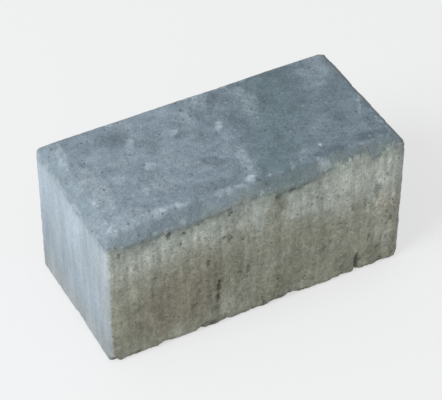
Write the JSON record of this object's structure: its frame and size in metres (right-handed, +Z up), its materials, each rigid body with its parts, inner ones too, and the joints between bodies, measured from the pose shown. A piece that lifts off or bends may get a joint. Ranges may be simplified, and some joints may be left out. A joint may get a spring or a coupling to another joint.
{
  "type": "concrete paving stone",
  "caption": "Rectangular pressed concrete paving stone with a bevelled, blue-grey tread face over a beige-grey concrete body; one unit for laying in bond.",
  "frame": {"origin": "middle of the bed face, the underside that lies on the ground", "axes": "+X along the stone's length, +Y across its width, +Z up out of the tread face"},
  "size_m": [0.2, 0.1, 0.1],
  "materials": {
    "concrete": "matte, fine-grained, with a denser blue-grey face mix at the tread face"
  },
  "bodies": {
    "root": {"paving_stone": "concrete"}
  },
  "joints": []
}
